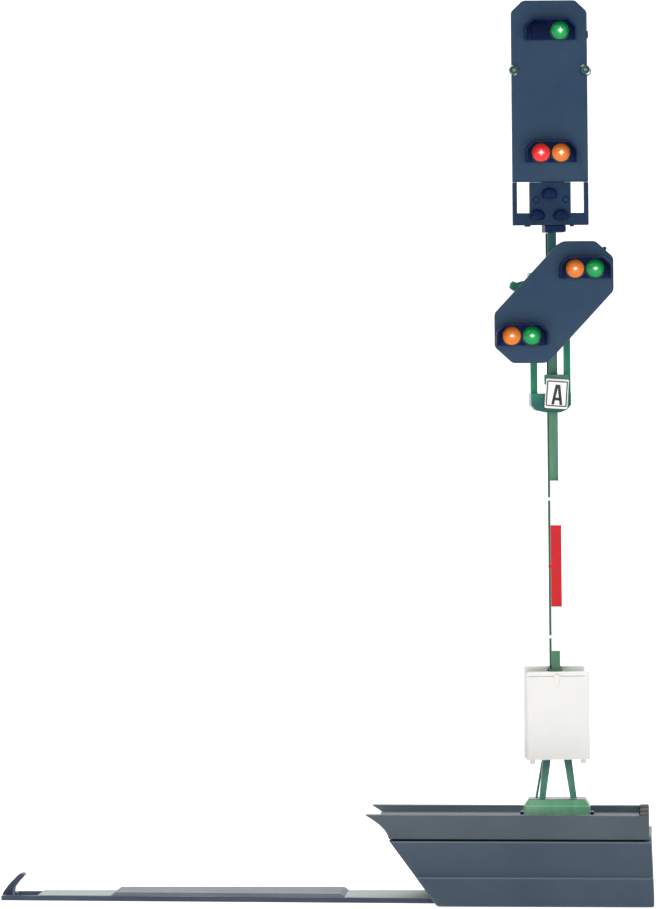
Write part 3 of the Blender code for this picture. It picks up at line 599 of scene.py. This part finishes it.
backs = {
    "main_housing": {"finish": "shieldStyrene", "slot": "shield_black", "face": 1.55, "deep": 0.09,
                     "frame": (-2.4, 2.04, 71.6, 86.3), "line": 0.12, "soften": 0.05,
                     "marks": ((-0.18, 73.4), (-0.18, 79.0), (-0.18, 84.6)), "round": 0.42},
    "distant_housing": {"finish": "shieldStyrene", "slot": "shield_black", "face": -1.26, "deep": 0.09,
                        "frame": None, "line": 0.12, "soften": 0.05,
                        "marks": ((-3.0, 55.6), (2.9, 61.7)), "round": 0.5},
    "box_rear_shell": {"finish": "boxStyrene", "slot": "box_white", "face": 2.9, "deep": 0.09,
                       "frame": (-2.3, 2.3, 14.7, 22.1), "line": 0.12, "soften": 0.06,
                       "marks": ((-1.5, 18.4), (1.5, 18.4)), "round": 0.4},
}


def buildBack(node, b):
    # shallow frame line in the rear face, and round ejector marks that stand a little proud
    near, far = b["face"] - b["deep"], b["face"] + 1.0
    cuts = []
    if b["frame"]:
        left, right, low, high = b["frame"]
        line = b["line"]
        cuts += [brick(left, right, near, far, z, z + line) for z in (low, high - line)]
        cuts += [brick(x, x + line, near, far, low + line, high - line) for x in (left, right - line)]
    use = {"finish": b["finish"], "slot": b["slot"], "body": "mast"}
    softenedCopy(node, {**use, "soften": b["soften"]}, cuts, onMast)
    radius, face = b["round"], b["face"]
    radii = radius - np.array([0.0, 0.0, 0.03, 0.1, 0.12])
    places = face + np.array([-0.06, 0.03, 0.05, 0.05, 0.01])
    marks = [turnedShell(radii, places, (x, 0, z), sides=28) for x, z in b["marks"]]
    buildPiece(node + "_marks", marks, use, onMast)


for node, back in backs.items():
    buildBack(node, back)
for node in ("main_board", "distant_board"):
    paintNode(node, "solderResist")
for node in ("main_led_green", "main_led_orange", "main_led_red"):
    paintNode(node, "ledEpoxy")
for node in ("cover_screw_front", "cover_screw_back"):
    paintNode(node, "brightSteel")


# Equipment box, signs and wires

boxTrim = {"front": -2.9, "groove": 22.08, "grooveTall": 0.12, "deep": 0.14, "left": -3.0, "right": 2.6,
           "tabX": -0.12, "tabHalf": 0.25, "tabTop": 22.25, "tabLow": 21.3, "proud": 0.12}


def buildBoxFront(t):
    # two grooves under the top edge, and between them a tongue-shaped catch that stands a little proud
    gap = t["tabHalf"] + 0.03
    tall = (t["groove"] - t["grooveTall"] / 2, t["groove"] + t["grooveTall"] / 2)
    deep = (t["front"] - 1.0, t["front"] + t["deep"])
    cuts = [brick(t["left"], t["tabX"] - gap, *deep, *tall), brick(t["tabX"] + gap, t["right"], *deep, *tall)]
    use = {"finish": "boxStyrene", "slot": "box_white", "body": "mast", "soften": 0.05}
    softenedCopy("box_front_shell", use, cuts, onMast)
    half, angle = t["tabHalf"], np.radians(np.linspace(0, -180, 13))
    end = np.stack([t["tabX"] + half * np.cos(angle), t["tabLow"] + half * np.sin(angle)], 1)
    top = np.array([(t["tabX"] - half, t["tabTop"]), (t["tabX"] + half, t["tabTop"])])
    catch = extruded(np.concatenate([top, end])[::-1], t["front"] - t["proud"], t["front"] + 0.02, 0.04, "y")
    buildPiece("box_catch", [catch], {"finish": "boxStyrene", "slot": "box_white", "body": "mast"}, onMast)


signFace = {"half": (1.11, 1.44), "front": -2.2, "back": -1.98, "border": (0.965, 1.2), "line": 0.055,
            "ink": 0.02, "letter": (0.06, -0.1), "tall": 0.98, "foot": 0.41, "apex": 0.09, "stroke": 0.27,
            "bar": -0.42}


def buildSign(f):
    # plate with a thin border and one letter: two slanting strokes and a bar
    x, z = signTurn["point"][0], signTurn["point"][2]
    half, up = f["half"]
    use = {"finish": "signStyrene", "slot": "sign_white", "body": "mast", "cad": ["sign_plate"]}
    outline = rectangle(x - half, x + half, z - up, z + up, 0.1)
    buildPiece("sign_face", [extruded(outline, f["front"], f["back"], 0.04, "y")], use, onSign)
    near, far, line = f["front"] - f["ink"], f["front"] + 0.02, f["line"]
    across, tall = f["border"]
    strokes = [[(x - across, z + s * tall - line), (x + across, z + s * tall - line),
                (x + across, z + s * tall + line), (x - across, z + s * tall + line)] for s in (-1, 1)]
    strokes += [[(x + s * across - line, z - tall), (x + s * across + line, z - tall),
                 (x + s * across + line, z + tall), (x + s * across - line, z + tall)] for s in (-1, 1)]
    cx, cz = x + f["letter"][0], z + f["letter"][1]
    low, high, wide = cz - f["tall"], cz + f["tall"], f["stroke"]
    for s in (-1, 1):
        foot, apex = cx + s * f["foot"], cx + s * f["apex"]
        strokes.append([(foot - wide / 2, low), (foot + wide / 2, low),
                        (apex + wide / 2, high), (apex - wide / 2, high)])
    reach, level = f["foot"] * 0.8, cz + f["bar"]
    strokes.append([(cx - reach, level - wide / 2), (cx + reach, level - wide / 2),
                    (cx + reach, level + wide / 2), (cx - reach, level + wide / 2)])
    shells = [skin(placedRings([np.array(stroke)] * 2, [near, far], "y")) for stroke in strokes]
    buildPiece("sign_print", shells, {"finish": "signInk", "slot": "sign_white", "body": "mast"}, onSign)


wireLay = {"count": 6, "x": -0.25, "spread": 0.56, "radius": 0.06, "low": 15.05, "high": 65.35, "sway": 0.035}


def buildWires(w):
    # each wire runs up the channel: its place drifts by a sum of two slow sines of the height
    z = np.linspace(w["low"], w["high"], 90)
    shells = []
    for k, y in enumerate(np.linspace(-w["spread"], w["spread"], w["count"])):
        drift = w["sway"] * (np.sin(z * 0.31 + 2.1 * k) + 0.6 * np.sin(z * 0.83 + 1.3 * k))
        path = np.stack([np.full_like(z, w["x"]) + 0.4 * drift, y + drift, z], 1)
        shells.append(tube(path, w["radius"], 7))
    use = {"finish": "enamelWire", "slot": "chip_black", "body": "mast", "cad": ["mast_wires"]}
    buildPiece("lamp_wires", shells, use, onMast)


buildBoxFront(boxTrim)
buildSign(signFace)
buildWires(wireLay)
softenedCopy("mast_sign", {"finish": "printedStyrene", "slot": "sign_white", "body": "mast", "soften": 0.03})
softenedCopy("track_hook", {"finish": "tongueStyrene", "slot": "base_plastic", "body": "hook", "soften": 0.1})
print("mast:", len(mastLooks))


# Signal heads

def lensPiece(name, x, front, z, finish, slot):
    # domed cap: radius r cos a stands 0.5 r sin a proud; the UV map holds its place across the face
    radius, dome = 0.9, np.radians(np.linspace(0, 86, 10))
    radii = np.concatenate([[radius, radius], radius * np.cos(dome)])
    places = np.concatenate([[0.55, -0.1], -0.15 - 0.44 * np.sin(dome)])
    points, faces = turnedShell(radii, places, (x, front, z))
    use = {"finish": finish, "slot": slot, "body": "mast", "cad": [name]}
    piece = buildPiece(name + "_lens", [(points, faces)], use, onMast)
    local = np.stack([(points[:, 0] - x) / radius, (points[:, 2] - z) / radius], 1)
    corner = np.empty(len(piece.data.loops), np.int32)
    piece.data.loops.foreach_get("vertex_index", corner)
    face = piece.data.uv_layers.new(name="lensFace")
    face.data.foreach_set("uv", local[corner].astype(np.float32).ravel())
    return piece


hoodShape = {"half": 2.55, "top": 1.2, "low": -0.95, "shoulder": 0.78, "wall": 0.2,
             "reach": 1.35, "slant": 0.3}


def ringShell(radius, thick, centre, sides=48, steps=10):
    # torus: ((R + r cos v) cos u, r sin v, (R + r cos v) sin u)
    u = np.linspace(0, 2 * math.pi, sides, endpoint=False)[:, None]
    v = np.linspace(0, 2 * math.pi, steps, endpoint=False)[None]
    away = radius + thick * np.cos(v)
    grid = np.stack([away * np.cos(u), thick * np.sin(v) * np.ones_like(u), away * np.sin(u)], -1)
    index = np.arange(sides * steps).reshape(sides, steps)
    along, around = np.roll(index, -1, 0), np.roll(index, -1, 1)
    faces = np.stack([index, around, np.roll(along, -1, 1), along], -1).reshape(-1, 4)
    return grid.reshape(-1, 3) + np.asarray(centre, float), faces.tolist()


def hoodPiece(name, x, front, z, sides=(-1, 1)):
    # visor: an arch outline carried forward, its front edge slanting back towards the open bottom
    h = hoodShape
    half, top, low, cut, wall = h["half"], h["top"], h["low"], h["shoulder"], h["wall"]
    outer = [(half, low), (half, top - cut), (half - cut, top),
             (cut - half, top), (-half, top - cut), (-half, low)]
    inner = [(wall - half, low), (wall - half, top - cut - 0.1), (cut - half + 0.1, top - wall),
             (half - cut - 0.1, top - wall), (half - wall, top - cut - 0.1), (half - wall, low)]
    radii = [0.08] + [0.25] * 4 + [0.08] * 2 + [0.2] * 4 + [0.08]
    outline = roundedOutline(outer + inner, radii)
    reach = h["reach"] - h["slant"] * (top - outline[:, 1])
    depth = np.array([-0.03, 0.5, 0.92, 1.0])[:, None] * reach[None]
    depth[0] = -0.03
    insets = [0.0, 0.0, 0.0, 0.05]
    rings = [np.stack([o[:, 0] + x, front - d, o[:, 1] + z], 1)
             for o, d in zip([insetOutline(outline, i) for i in insets], depth)]
    use = {"finish": "hoodStyrene", "slot": "hood_black", "body": "mast", "cad": [name]}
    buildPiece(name + "_visor", [skin(np.array(rings))], use, onMast)
    # painted shade: the dark pan behind the lenses, flush with the visor's inside, a dark sheet where the
    # visor shades the shield
    side, up, foot = half - wall * 0.5, top - wall * 0.5, low
    shadePan = roundedOutline([(x - side, z + foot), (x + side, z + foot), (x + side, z + up - cut),
                          (x + side - cut, z + up), (x - side + cut, z + up), (x - side, z + up - cut)], 0.15)
    holes = [lampHole(x + s * lampSpacing, front, z, 0.93) for s in sides]
    use = {"finish": "panShadeStyrene", "slot": "hood_black", "body": "mast"}
    buildPiece(name + "_pan", [extruded(shadePan, front - 0.14, front - 0.01, 0.03, "y")], use, onMast, holes)
    # thin glossy ring round each lens
    shells = [ringShell(0.96, 0.075, (x + s * lampSpacing, front - 0.16, z)) for s in sides]
    use = {"finish": "bezelStyrene", "slot": "hood_black", "body": "mast"}
    buildPiece(name + "_bezels", shells, use, onMast)


lampSpacing = 0.99
mainHead = {"x": -0.18, "front": -2.2, "thick": 0.8, "half": 3.72, "seam": 70.43, "top": 88.2,
            "upper": 85.25, "lower": 73.3, "hole": 0.94, "corner": (1.15, 1.1)}
distantHead = {"x": -0.05, "z": 58.66, "front": -3.4, "thick": 0.65,
               "upper": (3.04, 3.25), "lower": (-3.23, -3.27), "hole": 0.94}


def lampHole(x, front, z, radius):
    return turnedShell([radius, radius], [-1.0, 1.5], (x, front, z), sides=48)


def buildMainHead(h):
    x, half, front = h["x"], h["half"], h["front"]
    across, down = h["corner"]
    corners = [(x - half, h["seam"]), (x + half, h["seam"]), (x + half, h["top"] - down),
               (x + half - across, h["top"]), (x - half + across, h["top"]), (x - half, h["top"] - down)]
    outline = roundedOutline(corners, [0.08] * 2 + [0.25] * 4)
    lamps = [(1, "upper", "green"), (-1, "lower", "red"), (1, "lower", "orange")]
    holes = []
    for side, level, colour in lamps:
        place = x + 0.05 + side * lampSpacing
        holes.append(lampHole(place, front, h[level], h["hole"]))
        lensPiece(f"main_lens_{colour}", place, front, h[level], colour + "AcrylicMain", "lens_" + colour)
    pins = [turnedShell([0.5, 0.5], [-1.0, 2.0], (x + side * 3.5, front, 81.4)) for side in (-1, 1)]
    use = {"finish": "shieldStyrene", "slot": "shield_black", "body": "mast", "cad": ["main_shield"]}
    buildPiece("main_shield_plate", [extruded(outline, front, front + h["thick"], 0.12, "y")], use, onMast,
               holes + pins)
    hoodPiece("main_hood_upper", x + 0.05, front, h["upper"], (1,))
    hoodPiece("main_hood_lower", x + 0.05, front, h["lower"])
    # the place without a lamp has a square dark cap; its tone, darker than the pan, is partly painted shade
    # for the pocket it sits in
    blank = x + 0.05 - lampSpacing
    cap = extruded(rectangle(blank - 0.84, blank + 0.84, h["upper"] - 0.86, h["upper"] + 0.8, 0.22),
                   front - 0.24, front + 0.3, 0.08, "y")
    use = {"finish": "blankShadeStyrene", "slot": "hood_black", "body": "mast"}
    buildPiece("main_blank_cap", [cap], use, onMast)
    # side pins: a dark collar with a pale rounded head in it
    for side, word in ((-1, "left"), (1, "right")):
        centre = (x + side * 3.5, front, 81.4)
        collar = turnedShell([0.46, 0.46, 0.42, 0.3, 0.24, 0.24], [0.7, -0.1, -0.2, -0.26, -0.2, 0.7], centre)
        use = {"finish": "collarLacquer", "slot": "bracket_green", "body": "mast"}
        buildPiece(f"side_pin_{word}_collar", [collar], {**use, "cad": [f"side_pin_{word}"]}, onMast)
        head = turnedShell([0.22, 0.22, 0.17, 0.06], [0.6, -0.18, -0.27, -0.3], centre)
        use = {"finish": "pinHead", "slot": "bracket_green", "body": "mast"}
        buildPiece(f"side_pin_{word}_head", [head], use, onMast)
    # moulding nub on the right edge
    outline = rectangle(x + half - 0.1, x + half + 0.12, 84.45, 85.2, 0.08)
    use = {"finish": "shieldStyrene", "slot": "shield_black", "body": "mast"}
    buildPiece("main_shield_nub", [extruded(outline, front + 0.1, front + 0.6, 0.05, "y")], use, onMast)


def buildDistantHead(h):
    x, z, front = h["x"], h["z"], h["front"]
    halfOutline = np.array([(5.86, 1.05), (5.86, 4.35), (4.1, 5.95), (0.95, 5.95), (0.4, 5.65)])
    corners = np.concatenate([halfOutline, -halfOutline]) + (x, z)
    outline = roundedOutline(corners, [0.3, 0.3, 0.3, 0.2, 0.2] * 2)
    holes, cups = [], []
    for level in ("upper", "lower"):
        across, up = h[level]
        for side, colour in ((-1, "orange"), (1, "green")):
            place = x + across + side * lampSpacing
            holes.append(lampHole(place, front, z + up, h["hole"]))
            lensPiece(f"distant_lens_{level}_{colour}", place, front, z + up, colour + "AcrylicDistant",
                      "lens_" + colour)
            cups.append(turnedShell([0.7, 1.05, 1.05, 0.9], [0.56, 0.6, 0.95, 1.05], (place, front, z + up)))
        hoodPiece(f"distant_hood_{level}", x + across, front, z + up)
    use = {"finish": "shieldStyrene", "slot": "shield_black", "body": "mast", "cad": ["distant_shield"]}
    nub = turnedShell([0.16, 0.2, 0.2, 0.16], [0.12, 0.18, 0.5, 0.56], (x + 5.02, front, z + 5.2), sides=20)
    plate = extruded(outline, front, front + h["thick"], 0.12, "y")
    buildPiece("distant_shield_plate", [plate, nub], use, onMast, holes)
    # a light-tight cup closes each lamp hole from behind
    use = {"finish": "shieldStyrene", "slot": "shield_black", "body": "mast"}
    buildPiece("distant_lamp_cups", cups, use, onMast)


dummyLamps = {"places": (("top", -0.13, 69.25), ("left", -1.35, 67.15), ("right", 1.0, 67.15)),
              "wide": 0.76, "tall": 0.62, "proud": 0.7, "floor": -0.42}


def buildDummyLamps(d):
    # half-round visor: a squashed dome, (wide cos a cos u, proud sin a, tall cos a sin u), cut flat below
    x, front = mainHead["x"], mainHead["front"]
    a = np.radians(np.linspace(0, 84, 10))[:, None]
    u = np.linspace(0, 2 * math.pi, 40, endpoint=False)[None]
    for word, across, z in d["places"]:
        up = np.maximum(d["tall"] * np.cos(a) ** 0.8 * np.sin(u), d["floor"])
        sideways, out = d["wide"] * np.cos(a) * np.cos(u), d["proud"] * np.sin(a) * np.ones_like(u)
        grid = np.stack([sideways, -0.02 - out, up], -1)
        points, faces = skin(grid + np.array([x + across, front, z]))
        use = {"finish": "hoodStyrene", "slot": "hood_black", "body": "mast", "cad": [f"dummy_lamp_{word}"]}
        buildPiece(f"dummy_lamp_{word}_visor", [(points, faces)], use, onMast)


panelStuds = {"places": ((-2.28, 0.3), (2.08, 0.2)), "low": 66.06, "high": 66.26, "deep": (0.15, 0.6)}


def buildPanelStuds(d):
    # ejector studs under the lamp panel, and dark rings round its two bosses
    x, front = mainHead["x"], mainHead["front"]
    near, far = front + d["deep"][0], front + d["deep"][1]
    outlines = [rectangle(x + across - half, x + across + half, near, far, 0.1)
                for across, half in d["places"]]
    shells = [extruded(outline, d["low"], d["high"], 0.04, "z") for outline in outlines]
    use = {"finish": "panelStyrene", "slot": "shield_black", "body": "mast"}
    buildPiece("panel_studs", shells, use, onMast)
    rings = [ringShell(0.27, 0.05, (x + side * 1.44, front - 0.03, 68.7)) for side in (-1, 1)]
    use = {"finish": "hoodStyrene", "slot": "hood_black", "body": "mast"}
    buildPiece("panel_rings", rings, use, onMast)


buildMainHead(mainHead)
buildPanelStuds(panelStuds)
buildDummyLamps(dummyLamps)
buildDistantHead(distantHead)
print("heads done")


# Stage, light and camera

studio = {"floor": "FFFFFF", "under": 0.01 * mm, "glow": 0.78, "sky": 0.3,
          "lamps": (("key", 3.6, (-0.35, -0.75, 0.75), 0.7), ("fill", 1.4, (0.75, -0.5, 0.6), 0.6),
                    ("rear", 0.5, (-0.3, 0.8, 0.8), 0.6))}


def buildStudio(s):
    # paper that turns up behind the object: flat, then a quarter circle, then a wall
    turn = np.radians(np.linspace(0, 90, 24))
    y = np.concatenate([[-1.2], 0.9 + 0.5 * np.sin(turn), [1.4]])
    z = np.concatenate([[0.0], 0.5 - 0.5 * np.cos(turn), [2.0]]) - s["under"]
    x = np.array([-2.0, 2.0])
    grid = np.stack([np.broadcast_to(x[:, None], (2, len(y))), np.broadcast_to(y, (2, len(y))),
                     np.broadcast_to(z, (2, len(z)))], -1)
    index = np.arange(2 * len(y)).reshape(2, -1)
    faces = np.stack([index[0, :-1], index[1, :-1], index[1, 1:], index[0, 1:]], 1)
    mesh = bpy.data.meshes.new("floor")
    mesh.from_pydata(grid.reshape(-1, 3).tolist(), [], faces.tolist())
    mesh.shade_smooth()
    floor = bpy.data.objects.new("floor", mesh)
    bpy.context.scene.collection.objects.link(floor)
    material, tree, shader = newMaterial("backlitPaper")   # translucent white sheet with light under it
    shader.inputs["Base Color"].default_value = linear(s["floor"])
    shader.inputs["Roughness"].default_value = 0.9
    shader.inputs["Emission Color"].default_value = linear(s["floor"])
    shader.inputs["Emission Strength"].default_value = s["glow"]
    floor.data.materials.append(material)
    world = bpy.data.worlds.new("studio")
    world.use_nodes = True
    world.node_tree.nodes["Background"].inputs["Color"].default_value = (1, 1, 1, 1)
    world.node_tree.nodes["Background"].inputs["Strength"].default_value = s["sky"]
    bpy.context.scene.world = world
    for name, power, place, size in s["lamps"]:
        light = bpy.data.lights.new(name, "AREA")
        light.energy = power
        light.size = size
        lamp = bpy.data.objects.new(name, light)
        bpy.context.scene.collection.objects.link(lamp)
        lamp.location = place
        lamp.rotation_euler = (Vector((0, 0, 0.045)) - Vector(place)).to_track_quat("-Z", "Y").to_euler()
    bpy.context.scene.view_settings.view_transform = "Standard"


viewpoint = {"place": (9.4, -685.09, 48.07), "yaw": -2.67, "pitch": -0.363, "roll": 0.02, "focal": 276.22}


def buildCamera(v):
    # yaw turns right, pitch up; the camera looks along +Y at zero
    data = bpy.data.cameras.new("camera")
    data.lens = v["focal"]
    data.sensor_width = 36.0
    data.clip_start, data.clip_end = 0.01, 20.0
    camera = bpy.data.objects.new("camera", data)
    turn = Matrix.Identity(4)
    for angle, axis in ((-v["yaw"], "Z"), (v["pitch"], "X"), (-v["roll"], "Y"), (90, "X")):
        turn = turn @ Matrix.Rotation(math.radians(angle), 4, axis)
    camera.matrix_world = Matrix.Translation(Vector(v["place"]) * mm) @ turn
    bpy.context.scene.collection.objects.link(camera)
    bpy.context.scene.camera = camera


buildStudio(studio)
buildCamera(viewpoint)
print("studio ready")
